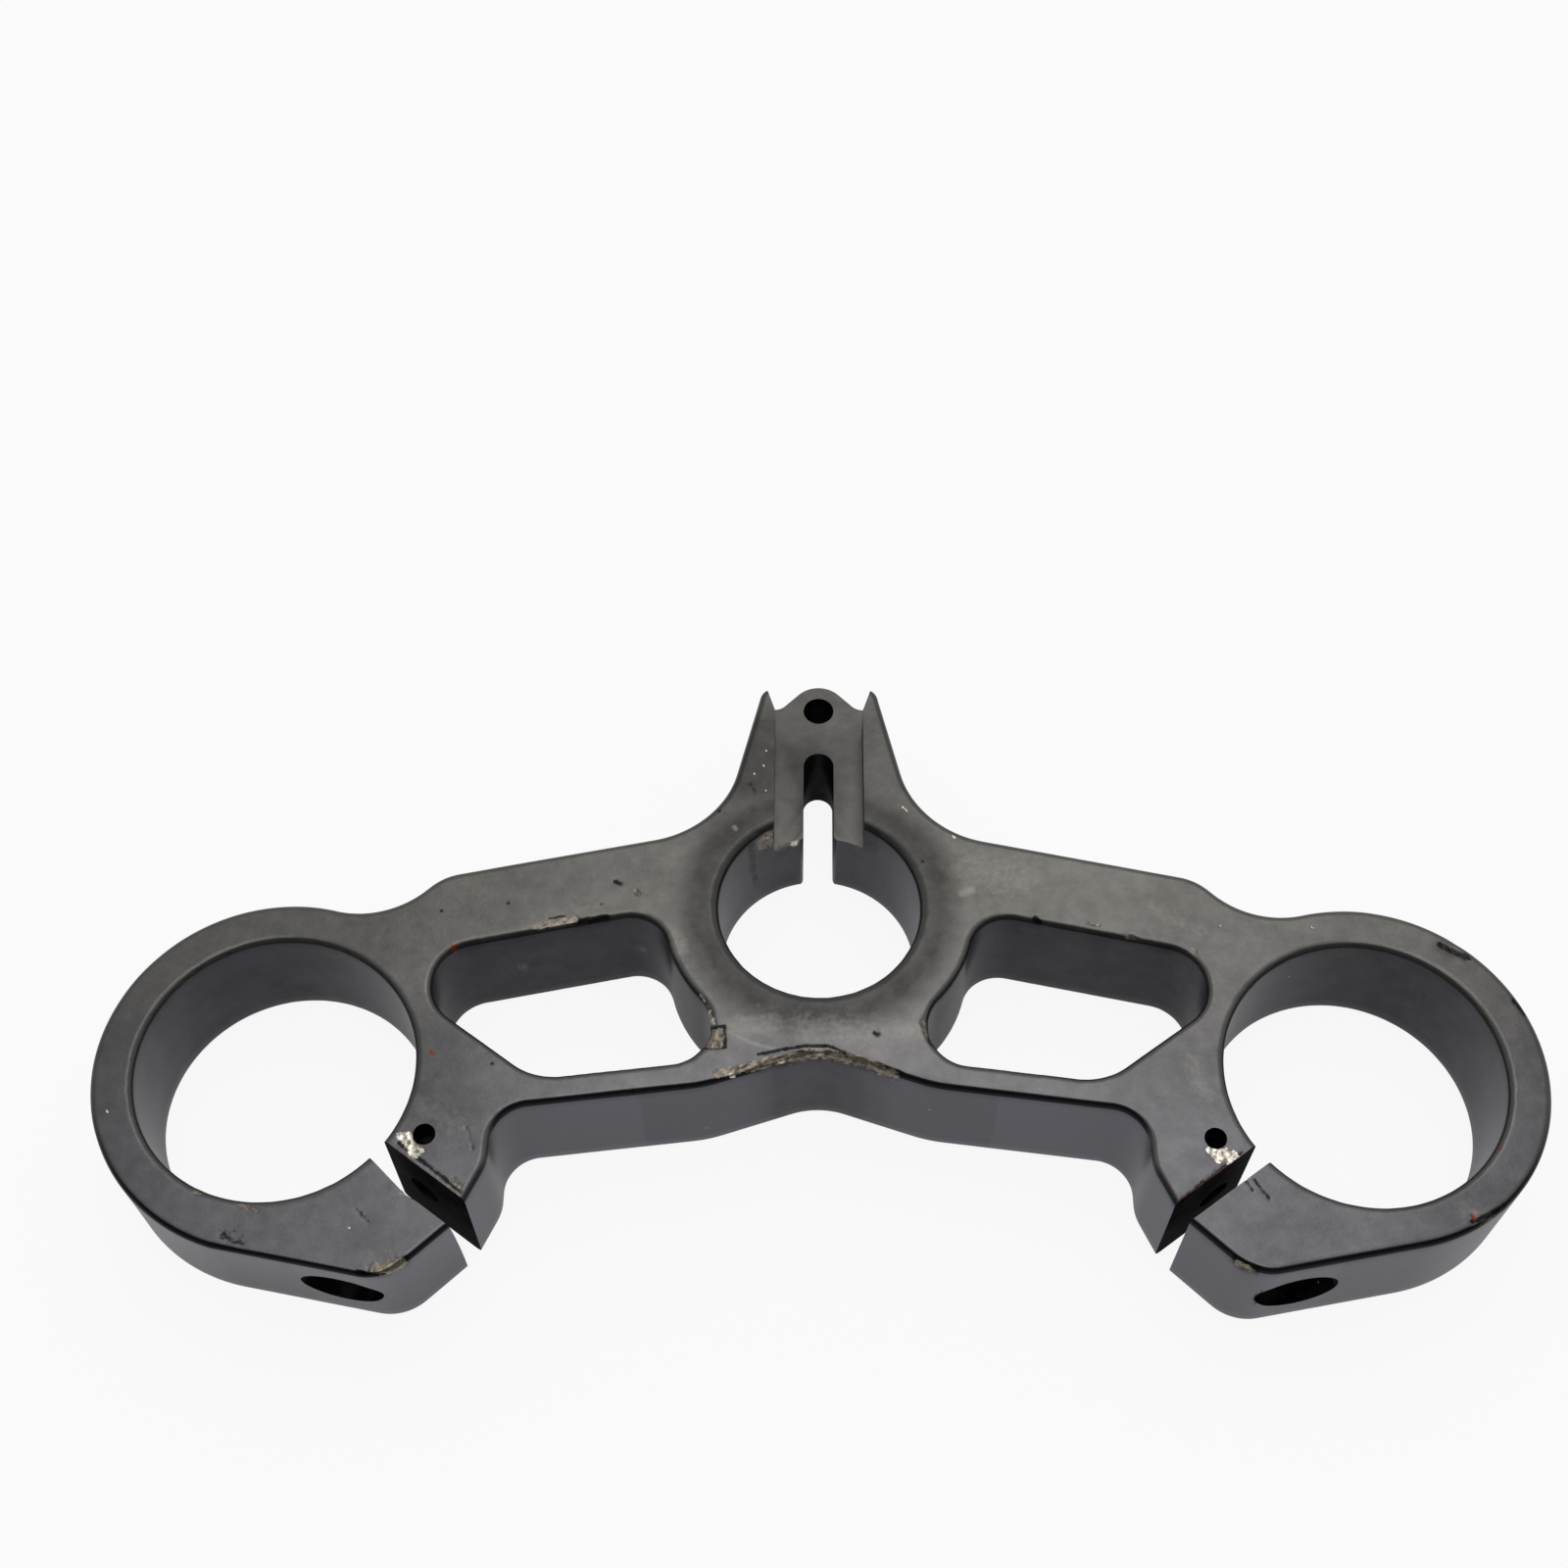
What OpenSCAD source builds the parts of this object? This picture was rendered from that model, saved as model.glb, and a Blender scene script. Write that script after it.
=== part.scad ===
// Upper triple clamp of an off-road motorcycle, machined from one piece.
// Two split clamps hold the fork tubes, a third bore holds the steering stem.
// The origin is on the stem axis in the underside. +Z is up, +Y points to the
// tail, -Y to the front of the fork tubes. All sizes are in millimetres.

/* [Fork clamps] */
// Distance between the axes of the two fork tubes
fork_spacing = 204.8; // [194:0.1:214]
// How far the fork tubes stand ahead of the stem axis
fork_offset = 35.1; // [31:0.1:39]
// Bore of each fork clamp
fork_bore_d = 52.8; // [50:0.1:55]
// Wall of the ring round each fork bore
fork_wall = 8; // [6.5:0.1:9.5]
// Slope of the flat front face of each clamp against straight across
face_slope = 10.8; // [6:0.1:14]
// Angle at which the ring runs over into the neck behind it
neck_angle = 103.5; // [98:0.5:108]
// Hollow radius between the ring and the neck
neck_r = 18.4; // [15:0.1:20]
// Slope of the ramp that leads from the neck up to the arm
ramp_slope = 44; // [38:0.5:50]

/* [Clamp slits and lugs] */
// Width of the slit in each fork clamp
slit_w = 4; // [2:0.1:5]
// Direction of the slit, turned forward from straight inward
slit_angle = 36.2; // [32:0.1:40]
// How far the slit lies ahead of the bore's own centre line
slit_shift = 0.8; // [0:0.1:1.5]
// Length of the two lugs beyond the bore
lug_l = 19.6; // [18:0.1:22]
// Slope of the outer lug's end against square to the slit
lug_slope = 10.6; // [4:0.1:14]
// Corner radius of the outer lug
lug_r = 10; // [5:0.5:11]
// Width of the inner lug's end, measured along the pinch bolt
lug_in_t = 8.2; // [7.5:0.1:10]
// How far the inner lug's outer corner is set back from its tip
lug_in_set = 1.6; // [0:0.1:3]

/* [Pinch bolts] */
// Distance of the bolt axis from the wall of the fork bore
pinch_inset = 7.6; // [7.3:0.1:9]
// Clearance hole through the outer lug
pinch_clear_d = 8.5; // [6.5:0.1:9]
// Tapping hole in the inner lug
pinch_thread_d = 6.8; // [5:0.1:7]
// Depth of the tapping hole from the slit
pinch_thread_l = 18; // [12:0.5:19]
// Counterbore for the bolt head
pinch_head_d = 14; // [11:0.1:14.2]
// Metal left under the bolt head
pinch_seat = 9; // [7:0.5:12]
// Small blind hole in the top of each inner lug
pin_hole_d = 4.2; // [3:0.1:4.6]
// Depth of that blind hole
pin_hole_l = 6; // [3:0.5:8]
// Distance of that hole from the slit
pin_hole_side = 5.3; // [4:0.1:6]
// How far that hole lies nearer to the fork bore than the bolt does
pin_hole_back = 2.3; // [0:0.1:3]

/* [Steering stem] */
// Bore for the steering stem
stem_bore_d = 39.4; // [37:0.1:41]
// Wall between the stem bore and each window
stem_wall = 10.9; // [9:0.1:12]
// Rounded top mouth of the stem bore
stem_edge_r = 2; // [1:0.1:3]
// Metal ahead of the stem bore, up to the corner of the front edges
nose_wall = 11.6; // [10:0.1:13]
// Angle of the two front edges that meet at the centre line
nose_slope = 18.5; // [14:0.5:20]
// How far outside the stem bore's side the front edge bends to the arm
knee_out = 1.8; // [0:0.1:4]

/* [Plate and arms] */
// Thickness of the whole plate
plate_t = 28; // [25:0.5:31]
// Rounding of all outer edges
edge_r = 1.5; // [0.8:0.1:1.8]
// Sweep of the back edge of each arm
arm_sweep = 11.7; // [10:0.1:13]
// How far the two back edges would pass behind the stem bore
back_rise = 1.7; // [0:0.1:3]
// Width of the beam behind each window
back_beam = 16.1; // [13:0.1:17]
// Width of the beam in front of each window
front_beam = 5.3; // [4.2:0.1:6.5]
// How far ahead of the fork axes the front beam meets the inner lug
front_drop = 8.2; // [6:0.1:10]
// How far the slanted side of the window clears the fork bore's tangent
side_gap = 0.9; // [0.2:0.1:2]
// The same for its upright side
end_gap = 1.8; // [0.8:0.1:3]
// How far outside the stem bore's side each window begins
window_in = 1; // [0:0.1:2]
// Corner radius of the windows at the back
window_r = 8.5; // [6:0.1:9]
// Corner radius of the windows at the front, beside the stem
window_low_r = 9; // [5:0.1:9.5]
// Corner radius of the windows at the front, beside the fork bore
window_front_r = 13; // [8:0.1:14]

/* [Blends of the outline] */
// Hollow between the tail and the arm
tail_root_r = 21; // [15:0.5:24]
// Corner where the arm ends at the ramp
arm_end_r = 11; // [6:0.5:14]
// Outer corner of the inner lug
lug_side_r = 9; // [5:0.5:10]
// Hollow between the inner lug and the front beam
lug_root_r = 7.5; // [4:0.5:9]
// Knee of the front edge
knee_r = 30; // [15:1:35]
// Hollow at the centre of the front edge
nose_r = 16.5; // [8:0.5:20]
// Hollow beside the nose at the tail end
boss_root_r = 4.5; // [2:0.5:5]
// Small corners at the ear tips and the lug ends
tip_r = 1.2; // [0.6:0.1:1.5]

/* [Tail] */
// Width of the tail where the slot ends
tail_w = 28.4; // [26:0.1:31]
// Taper of each side of the tail
tail_taper = 13.7; // [10:0.1:15]
// Distance from the stem axis to the two ear tips
ear_y = 50.8; // [48:0.1:53]
// Width of the channel in the top of the tail
channel_w = 18.1; // [16:0.1:19]
// Depth of that channel
channel_d = 9; // [6:0.1:11]
// Flare of the channel towards its mouth
flare_angle = 18; // [0:0.5:19]
// Length of the flared mouth
flare_l = 5.8; // [3:0.1:8]
// Width of the slot that splits the stem bore
slot_w = 6.2; // [4:0.1:7]
// Distance from the stem axis to the round end of the slot
slot_y = 40; // [38:0.1:41]
// Small round where the slot opens into the stem bore
slot_mouth_r = 1.5; // [0.5:0.1:2]
// Hole in the nose at the tail end
tail_hole_d = 6.3; // [5:0.1:7]
// Metal round that hole
tail_hole_wall = 2.7; // [2.2:0.1:3.5]
// How far that hole lies ahead of the ear tips
tail_hole_in = 0.3; // [0:0.1:1]
// Clearance hole of the stem pinch bolt, across the tail
stem_bolt_d = 8.5; // [6.5:0.1:9]
// Tapping hole of the stem pinch bolt
stem_thread_d = 6.8; // [5:0.1:7]
// Counterbore for the head of the stem pinch bolt
stem_head_d = 14; // [11:0.1:15]
// Metal left under that head
stem_seat = 8; // [6:0.5:9]
// How much nearer to the stem that bolt lies than the middle of the slot
stem_bolt_in = 1; // [0:0.1:2]

/* [Hidden] */
$fn = 64;
out = 5;

// radii and centres that follow from the sizes above
fork_r = fork_bore_d / 2;
ring_r = fork_r + fork_wall;
stem_r = stem_bore_d / 2;
fork = [fork_spacing / 2, -fork_offset];
tail_hole_y = ear_y - tail_hole_in;
boss_r = tail_hole_d / 2 + tail_hole_wall;
channel_z = plate_t - channel_d;
stem_bolt = [0, (stem_r + slot_y) / 2 - stem_bolt_in, channel_z / 2];

// angle at which the nose of the tail runs over into its flanks, and the two
// angles between which each window follows the ring round the stem
boss_end = 45;
web_from = -15;
web_to = -42;
// steps of the ring round the fork bore
ring_steps = 26;

// the clamp's own two directions: along the slit and along the pinch bolt
along = [-cos(slit_angle), -sin(slit_angle)];
across = [sin(slit_angle), -cos(slit_angle)];
function at_clamp(a, b) = fork + a * along + b * across;

// plane geometry
function dir(a) = [cos(a), sin(a)];
function turn90(v) = [-v.y, v.x];
function cross2(a, b) = a.x * b.y - a.y * b.x;
function meet(p, u, q, v) = p + u * cross2(q - p, v) / cross2(u, v);
function unit(v) = v / norm(v);

// a closed outline of [x, y, radius] corners, each rounded by its own radius;
// where two rounds need more than their edge, both give way in proportion
function xy(c) = [c[0], c[1]];
function bend(c, i) = let (n = len(c), a = unit(xy(c[i]) - xy(c[(i + n - 1) % n])),
    b = unit(xy(c[(i + 1) % n]) - xy(c[i]))) atan2(cross2(a, b), a * b);
function reach(c, i) = c[i][2] * tan(abs(bend(c, i)) / 2);
function share(c, i, j) = let (s = reach(c, i) + reach(c, j), l = norm(xy(c[i]) - xy(c[j])))
    s > l ? l / s : 1;
function rounded(c) = let (n = len(c)) [for (i = [0:n - 1])
    let (h = (i + n - 1) % n, j = (i + 1) % n, p = xy(c[i]))
    if (c[i][2] == 0) p else
        let (t = reach(c, i) * min(share(c, h, i), share(c, i, j)), w = bend(c, i),
            r = t / tan(abs(w) / 2), a = unit(p - xy(c[h])),
            m = p - a * t + turn90(a) * r * sign(w), k = ceil(abs(w) / 9) + 1,
            s = atan2(a.y, a.x) - 90 * sign(w))
        each [for (q = [0:k]) m + r * dir(s + w * q / k)]];

// straight edges that the outline and the windows share
back_p = [0, stem_r + back_rise];
back_u = dir(-arm_sweep);
tail_p = [tail_w / 2, slot_y];
tail_u = dir(tail_taper - 90);
nose_p = [0, -stem_r - nose_wall];
nose_u = dir(-nose_slope);
knee = nose_p + nose_u * (stem_r + knee_out) / cos(nose_slope);
lug_end = fork_r + lug_l;
slit_in = slit_shift - slit_w / 2;
slit_out = slit_shift + slit_w / 2;
lug_side = at_clamp(lug_end - lug_in_set, slit_in - lug_in_t);
front_c = [lug_side.x, -fork_offset - front_drop];
front_u = unit(front_c - knee);

// corners of the right half of the outline, from the tail round to the nose
neck_t = fork + ring_r * dir(neck_angle);
neck_u = dir(neck_angle + 90);
neck_p = neck_t + neck_u * neck_r * tan((neck_angle - 90 + ramp_slope) / 2);
face_a = face_slope - 90;
right_half = concat(
    [for (a = [90:-9:boss_end]) concat([0, tail_hole_y] + boss_r * dir(a), [0])],
    [concat(meet([0, tail_hole_y] + boss_r * dir(boss_end), dir(boss_end - 90), [0, ear_y], [1, 0]),
        [boss_root_r]),
    concat(meet(tail_p, tail_u, [0, ear_y], [1, 0]), [tip_r]),
    concat(meet(tail_p, tail_u, back_p, back_u), [tail_root_r]),
    concat(meet(neck_p, dir(-ramp_slope), back_p, back_u), [arm_end_r]),
    concat(neck_p, [neck_r])],
    [for (i = [0:ring_steps]) concat(fork + ring_r * dir(neck_angle
        + (face_a - neck_angle) * i / ring_steps), [0])],
    [concat(meet(fork + ring_r * dir(face_a), dir(face_slope), at_clamp(lug_end, slit_out),
        dir(lug_slope - 90 + slit_angle)), [lug_r]),
    concat(at_clamp(lug_end, slit_out), [tip_r]),
    concat(at_clamp(lug_end, slit_in), [tip_r]),
    concat(lug_side, [lug_side_r]),
    concat(front_c, [lug_root_r]),
    concat(knee, [knee_r]),
    concat(nose_p, [nose_r])]);
left_half = [for (i = [len(right_half) - 2:-1:1])
    [-right_half[i][0], right_half[i][1], right_half[i][2]]];

// corners of the right window: two arm edges set in by their beams, the ring
// round the stem, and the side that runs beside the fork bore
win_r = stem_r + stem_wall;
win_back = back_p - turn90(back_u) * back_beam;
win_front = knee + turn90(front_u) * front_beam;
win_side = fork + across * -(fork_r + side_gap);
win_end = [fork.x - fork_r - end_gap, 0];
win_low = [stem_r + window_in, 0];
right_window = [
    concat(meet(win_r * dir(web_from), dir(web_from + 90), win_back, back_u), [window_r]),
    concat(win_r * dir((web_from + web_to) / 2) / cos((web_from - web_to) / 2), [win_r]),
    concat(meet(win_r * dir(web_to), dir(web_to + 90), win_low, [0, 1]), [window_low_r]),
    concat(meet(win_low, [0, 1], win_front, front_u), [window_low_r]),
    concat(meet(win_front, front_u, win_side, along), [window_front_r]),
    concat(meet(win_end, [0, 1], win_side, along), [window_r]),
    concat(meet(win_end, [0, 1], win_back, back_u), [window_r])];

// small ball with a point at each pole, so that the plate keeps its thickness
module edge_ball() {
    rotate_extrude($fn = 16) polygon([for (a = [-90:30:90]) edge_r * dir(a)]);
}

// the plate: one flat outline with two windows and rounded edges
module plate() {
    minkowski() {
        translate([0, 0, edge_r]) linear_extrude(plate_t - 2 * edge_r)
            offset(delta = -edge_r) difference() {
                polygon(rounded(concat(right_half, left_half)));
                polygon(rounded(right_window));
                mirror([1, 0]) polygon(rounded(right_window));
            }
        edge_ball();
    }
}

// straight bore through the plate, its mouths rounded where a radius is given
module round_bore(r, top_r, low_r = 0) {
    rotate_extrude() {
        translate([0, -out]) square([r, plate_t + 2 * out]);
        difference() {
            translate([0, plate_t - top_r]) square([r + top_r, top_r + out]);
            translate([r + top_r, plate_t - top_r]) circle(top_r);
        }
        if (low_r > 0) difference() {
            translate([0, -out]) square([r + low_r, low_r + out]);
            translate([r + low_r, low_r]) circle(low_r);
        }
    }
}

// all that is cut into the right fork clamp
module clamp_cuts() {
    translate(fork) {
        round_bore(fork_r, edge_r, edge_r);
        rotate([0, 0, 180 + slit_angle]) translate([0, slit_shift, 0]) {
            // slit from the bore out between the two lugs
            translate([0, -slit_w / 2, -out]) cube([lug_end + out, slit_w, plate_t + 2 * out]);
            // pinch bolt, square to the slit at half the plate's thickness
            translate([fork_r + pinch_inset, 0, plate_t / 2]) {
                rotate([-90, 0, 0]) cylinder(d = pinch_clear_d, h = lug_end + out);
                translate([0, slit_w / 2 + pinch_seat, 0]) rotate([-90, 0, 0])
                    cylinder(d = pinch_head_d, h = lug_end + out);
                rotate([90, 0, 0]) cylinder(d = pinch_thread_d, h = slit_w / 2 + pinch_thread_l);
            }
            // small blind hole in the top of the inner lug
            translate([fork_r + pinch_inset - pin_hole_back, -slit_w / 2 - pin_hole_side, plate_t])
                translate([0, 0, -pin_hole_l]) cylinder(d = pin_hole_d, h = pin_hole_l + out);
        }
    }
}

// bore, slot, channel, end hole and pinch bolt of the steering stem
module stem_cuts() {
    // the lower mouth stays square, where the nut's washer seats
    round_bore(stem_r, stem_edge_r);
    // slot through the tail, opening into the bore by two small rounds
    translate([0, slot_y - slot_w / 2, -out]) cylinder(d = slot_w, h = plate_t + 2 * out);
    slot_in = sqrt(pow(stem_r, 2) - pow(slot_w / 2, 2));
    mouth_in = slot_in - 1;
    translate([0, 0, -out]) linear_extrude(plate_t + 2 * out)
        polygon(rounded([[-slot_w / 2, slot_y - slot_w / 2, 0], [-slot_w / 2, slot_in, slot_mouth_r],
            [-slot_w, mouth_in, 0], [0, 0, 0], [slot_w, mouth_in, 0],
            [slot_w / 2, slot_in, slot_mouth_r], [slot_w / 2, slot_y - slot_w / 2, 0]]));
    // open channel in the top, flared at its mouth
    flare = tan(flare_angle);
    translate([0, 0, channel_z]) linear_extrude(channel_d + out)
        polygon([for (s = [1, -1]) for (p = s > 0 ? [0:3] : [3:-1:0])
            let (y = [0, ear_y - flare_l, ear_y - flare_l, ear_y + 2 * boss_r][p])
            [s * (channel_w / 2 + max(0, p - 2) * flare * (flare_l + 2 * boss_r)), y]]);
    // hole in the nose at the tail end
    translate([0, tail_hole_y, -out]) cylinder(d = tail_hole_d, h = plate_t + 2 * out);
    // pinch bolt across the slot, below the channel
    translate(stem_bolt) rotate([0, 90, 0]) {
        cylinder(d = stem_bolt_d, h = tail_w);
        translate([0, 0, slot_w / 2 + stem_seat]) cylinder(d = stem_head_d, h = tail_w);
        translate([0, 0, -tail_w]) cylinder(d = stem_thread_d, h = tail_w);
    }
}

module triple_clamp() {
    color([0.38, 0.38, 0.39]) difference() {
        plate();
        clamp_cuts();
        mirror([1, 0, 0]) clamp_cuts();
        stem_cuts();
    }
}

triple_clamp();
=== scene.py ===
# %% [markdown]
# # An upper triple clamp, dressed for a studio photograph
#
# The part is one plate of machined aluminium that holds two fork tubes and a
# steering stem. Its finish is a dark satin anodised coat, worn on the edges.
# The solid from the CAD model sets every place and size. It is made of exact
# faces, but its rounded edges are coarse strips, so this lesson makes the same
# plate again as one fine skin and hides the coarse one. The sizes below are
# those of the solid, in millimetres, and the mesh itself is in metres.

# %% Load the fixed frame
import bmesh
import bpy
import numpy as np
from mathutils import Matrix
from mathutils.geometry import delaunay_2d_cdt


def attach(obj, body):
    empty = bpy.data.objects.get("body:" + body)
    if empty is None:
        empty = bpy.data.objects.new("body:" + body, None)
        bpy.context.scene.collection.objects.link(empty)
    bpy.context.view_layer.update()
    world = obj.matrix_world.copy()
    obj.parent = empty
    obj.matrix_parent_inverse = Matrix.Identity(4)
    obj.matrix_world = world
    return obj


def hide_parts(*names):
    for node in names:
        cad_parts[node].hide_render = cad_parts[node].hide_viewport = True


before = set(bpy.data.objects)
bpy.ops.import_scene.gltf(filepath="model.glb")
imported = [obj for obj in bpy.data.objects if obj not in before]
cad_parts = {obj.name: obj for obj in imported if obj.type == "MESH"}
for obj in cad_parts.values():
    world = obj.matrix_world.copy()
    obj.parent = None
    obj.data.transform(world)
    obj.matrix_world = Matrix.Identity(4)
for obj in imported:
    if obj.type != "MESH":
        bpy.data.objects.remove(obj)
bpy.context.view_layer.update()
scene = bpy.context.scene

# %% [markdown]
# ## The camera
#
# A photograph can be matched by solving for the camera from known shapes: the
# three bores are circles, and circles seen at a slant fix the angle and the
# distance. The values here come from such a fit. The camera looks down at 59
# degrees from the front, with a lens of normal length.

# %% Camera
# turns in radians, the eye's place in millimetres, and the focal length in
# pixels of a frame this many pixels wide
az, el, roll = 0.012, 1.029, -0.006
eye = np.array([-4.265, -206.585, 416.430])
focal, frame_width, sensor = 2292.747, 1600, 36.0
back = np.array([np.sin(az) * np.cos(el), -np.cos(az) * np.cos(el), np.sin(el)])
right = np.cross([0, 0, 1], back)
right /= np.linalg.norm(right)
up = np.cross(back, right)
right, up = (np.cos(roll) * right + np.sin(roll) * up,
             -np.sin(roll) * right + np.cos(roll) * up)
cam_data = bpy.data.cameras.new("camera")
cam_data.sensor_width = sensor
cam_data.lens = sensor * focal / frame_width
cam_data.clip_start, cam_data.clip_end = 0.05, 50
cam = bpy.data.objects.new("camera", cam_data)
place = np.eye(4)
place[:3, 0], place[:3, 1], place[:3, 2] = right, up, back
place[:3, 3] = eye / 1000
cam.matrix_world = Matrix(place.tolist())
scene.collection.objects.link(cam)
scene.camera = cam
print("lens %.2f mm" % cam_data.lens)

# %% [markdown]
# ## The outline
#
# A milled plate has an outline of straight runs joined by rounds, because a
# round cutter leaves them. Such an outline is best written as a short list of
# corners, each with its own radius. A fillet touches both of its edges at the
# distance r * tan(half the bend) from the corner, and that one formula makes
# every round here. Points are spread evenly, about every 0.7 mm, so that the
# rounds look smooth and there is metal to dent later.

# %% Sizes of the clamp, in millimetres
# the right fork tube's axis, its bore and the ring round it; the stem's bore
# and the round of its top edge; the plate and the round of its edges
fork = np.array([102.4, -35.1])
fork_r, ring_r = 26.4, 34.4
stem_r, stem_edge = 19.7, 2.0
thick, edge = 28.0, 1.5
# the slit through the ring's lugs: its direction, its shift and its width
slit_degrees, slit_shift, slit_w = 36.2, 0.8, 4.0
slit_in, slit_out = slit_shift - slit_w / 2, slit_shift + slit_w / 2
slit_turn = np.radians(slit_degrees)
along = np.array([-np.cos(slit_turn), -np.sin(slit_turn)])
across = np.array([np.sin(slit_turn), -np.cos(slit_turn)])
lug_end = fork_r + 19.6
# the tail: its channel, the slot in the channel's floor, its ears and its hole
channel_w, channel_d = 18.1, 9.0
slot_w, slot_y = 6.2, 40.0
ear_y, boss_r, tail_hole = 50.8, 5.85, np.array([0.0, 50.5])
# holes: a bolt's thread, shank and head, the lug's pin and the tail's hole
thread_r, shank_r, head_r, pin_r, tail_r = 3.4, 4.25, 7.0, 2.1, 3.15
# how far outside the fork's bore the pinch bolt crosses the slit
bolt_out = 7.6
# the distance between points of an outline
step = 0.7


def direction(degrees):
    """Unit vector at an angle from +X, turning towards +Y."""
    a = np.radians(degrees)
    return np.array([np.cos(a), np.sin(a)])


def left_of(v):
    """The vector turned a quarter turn to its left."""
    return np.array([-v[1], v[0]])


def meet(p, u, q, v):
    """Where the line through p along u crosses the line through q along v."""
    return p + u * np.cross(q - p, v) / np.cross(u, v)


def at_clamp(a, b):
    """Point a along the slit from the fork axis and b across it."""
    return fork + a * along + b * across


def rounded(corners, spacing=step):
    """A closed outline of [x, y, r] corners as evenly spaced points.

    At each corner the two edges bend by w. The round touches them at
    r * tan(w / 2) from the corner, its centre lies r to the side of the first
    touching point, and its points turn about that centre from there by w.
    Where two rounds need more than their edge, both give way in proportion.
    """
    c = np.asarray(corners, float)
    p, r = c[:, :2], c[:, 2]
    a = p - np.roll(p, 1, 0)
    length = np.linalg.norm(a, axis=1)
    a /= length[:, None]
    b = np.roll(a, -1, 0)
    w = np.arctan2(a[:, 0] * b[:, 1] - a[:, 1] * b[:, 0], (a * b).sum(1))
    t = r * np.tan(np.abs(w) / 2)
    share = np.minimum(1, length / np.maximum(t + np.roll(t, 1), 1e-9))
    t *= np.minimum(share, np.roll(share, -1))
    out = []
    for i in range(len(c)):
        h = i - 1
        start, stop = p[h] + a[i] * t[h], p[i] - a[i] * t[i]
        run = np.linalg.norm(stop - start)
        n = max(1, int(np.ceil(run / spacing)))
        if run > 1e-6:
            out.append(start + (stop - start) * (np.arange(n) / n)[:, None])
        if t[i] > 1e-9:
            radius = t[i] / np.tan(abs(w[i]) / 2)
            centre = stop + left_of(a[i]) * radius * np.sign(w[i])
            k = max(3, int(np.ceil(abs(w[i]) * radius / spacing)))
            s = np.arctan2(*(stop - centre)[::-1]) + w[i] * np.arange(k) / k
            out.append(centre + radius * np.stack([np.cos(s), np.sin(s)], 1))
    return np.concatenate(out)


def circle(centre, r, spacing=step, phase=0.0):
    """Points on a circle, counted so that their spacing is about even."""
    n = 4 * int(np.ceil(2 * np.pi * r / spacing / 4))
    s = phase + 2 * np.pi * np.arange(n) / n
    return np.asarray(centre) + r * np.stack([np.cos(s), np.sin(s)], 1)


# %% The outline and the windows
# slopes of the straight edges in degrees from +X: the back, the tail's side,
# the neck, the front and the outer lug's face; the neck's round leaves the
# ring at neck_at
back_slope, tail_slope, neck_slope, nose_slope, face_slope = -11.7, 13.7 - 90, -44, -18.5, 10.8
neck_at, neck_r = 103.5, 18.4
back_p, back_u = np.array([0, stem_r + 1.7]), direction(back_slope)
tail_p, tail_u = np.array([14.2, slot_y]), direction(tail_slope)
nose_p, nose_u = np.array([0, -stem_r - 11.6]), direction(nose_slope)
knee = nose_p + nose_u * (stem_r + 1.8) / np.cos(np.radians(nose_slope))
lug_side = at_clamp(lug_end - 1.6, slit_in - 8.2)
front_c = np.array([lug_side[0], fork[1] - 8.2])
front_u = (front_c - knee) / np.linalg.norm(front_c - knee)
neck_bend = np.radians((neck_at - 90 - neck_slope) / 2)
neck_p = fork + ring_r * direction(neck_at) + direction(neck_at + 90) * neck_r * np.tan(neck_bend)
face_p = fork + ring_r * direction(face_slope - 90)
boss_p = tail_hole + boss_r * direction(45)
ex = np.array([1.0, 0.0])
ey = np.array([0.0, 1.0])


def corner(p, r=0.0):
    """One [x, y, r] corner."""
    return [p[0], p[1], r]


boss = [corner(tail_hole + boss_r * direction(d)) for d in np.linspace(90, 45, 9)]
ring = [corner(fork + ring_r * direction(d)) for d in np.linspace(neck_at, face_slope - 90, 150)]
half = boss + [
    corner(meet(boss_p, direction(-45), np.array([0, ear_y]), ex), 4.5),
    corner(meet(tail_p, tail_u, np.array([0, ear_y]), ex), 4.0),
    corner(meet(tail_p, tail_u, back_p, back_u), 21),
    corner(meet(neck_p, direction(neck_slope), back_p, back_u), 11),
    corner(neck_p, neck_r)] + ring + [
    corner(meet(face_p, direction(face_slope), at_clamp(lug_end, slit_out),
                direction(10.6 - 90 + slit_degrees)), 10),
    corner(at_clamp(lug_end, slit_out), 1.7),
    corner(at_clamp(lug_end, slit_in), 1.7),
    corner(lug_side, 9), corner(front_c, 7.5), corner(knee, 30),
    corner(nose_p, 16.5)]
other = [[-x, y, r] for x, y, r in half[-2:0:-1]]
outline = rounded((half + other)[::-1])

# a window leaves this much metal at the back, at the front and round the
# stem, where its side is an arc between two angles; its other sides are
# straight lines close to the two bores
back_bar, front_bar, stem_bar = 16.1, 5.3, 10.9
arc_from, arc_to = -15, -42
arc_mid, arc_half = (arc_from + arc_to) / 2, (arc_from - arc_to) / 2
win_r = stem_r + stem_bar
win_back = back_p - left_of(back_u) * back_bar
win_front = knee + left_of(front_u) * front_bar
win_side = fork - across * (fork_r + 0.9)
win_end = np.array([fork[0] - fork_r - 1.8, 0])
win_low = np.array([stem_r + 1.0, 0])
window = rounded([
    corner(meet(win_r * direction(arc_from), direction(arc_from + 90), win_back, back_u), 8.5),
    corner(win_r * direction(arc_mid) / np.cos(np.radians(arc_half)), win_r),
    corner(meet(win_r * direction(arc_to), direction(arc_to + 90), win_low, ey), 9),
    corner(meet(win_low, ey, win_front, front_u), 9),
    corner(meet(win_front, front_u, win_side, along), 13),
    corner(meet(win_end, ey, win_side, along), 8.5),
    corner(meet(win_end, ey, win_back, back_u), 8.5)])


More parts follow.
